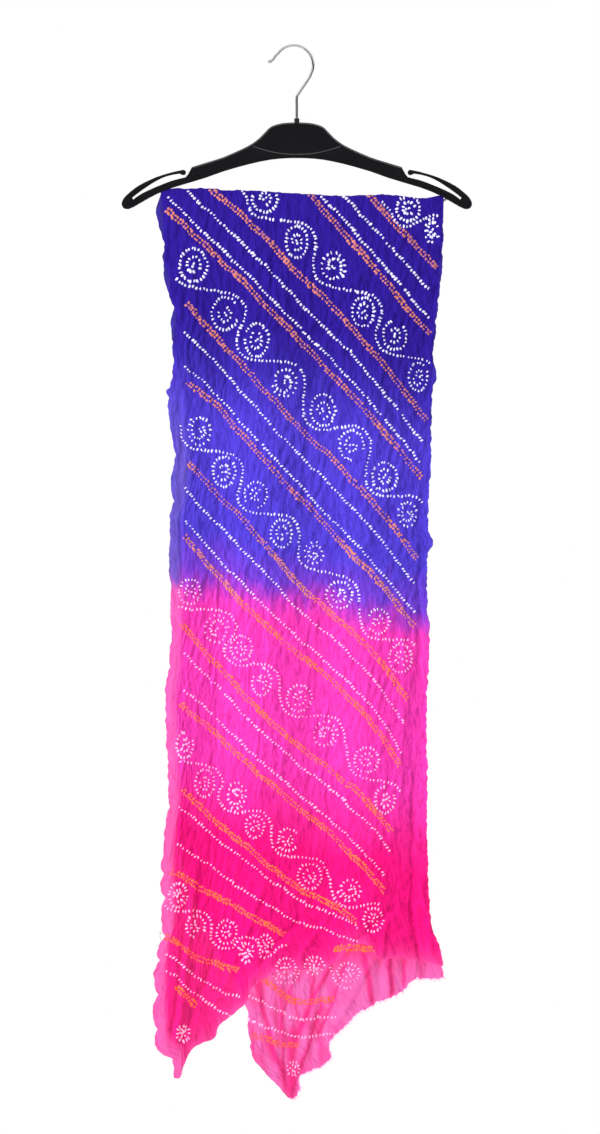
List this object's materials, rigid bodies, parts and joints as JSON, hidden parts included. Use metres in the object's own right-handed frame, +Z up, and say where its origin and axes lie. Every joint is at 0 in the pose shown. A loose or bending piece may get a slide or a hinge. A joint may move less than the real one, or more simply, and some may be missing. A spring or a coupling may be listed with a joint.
{
  "type": "bandhani dupatta stole on a clothes hanger with a wire hook",
  "caption": "Crinkled tie-dyed stole, violet above and pink below, folded over the bar of a black plastic hanger with a chromed wire hook",
  "frame": {"origin": "the inside of the hook's crown, where the hanger rests on a rail", "axes": "+Z up along the hanging cloth, +X to the right of someone facing the front fall, +Y from the front fall to the back fall"},
  "size_m": [0.4204, 0.0216, 1.2669],
  "materials": {
    "front_cloth": "sheer crinkled silk georgette, blue-violet above and pink below",
    "back_cloth": "sheer crinkled silk georgette, hot pink",
    "black_plastic": "moulded black plastic with a soft sheen",
    "black_sleeve": "plain black sleeve",
    "hook_wire": "bright chromed wire",
    "bar_wire": "plated wire"
  },
  "bodies": {
    "root": {"front_fall": "front_cloth", "back_fall": "back_cloth", "hanger_body": "black_plastic", "hook_collar": "black_sleeve", "hook": "hook_wire", "fold_bar": "bar_wire"}
  },
  "joints": []
}
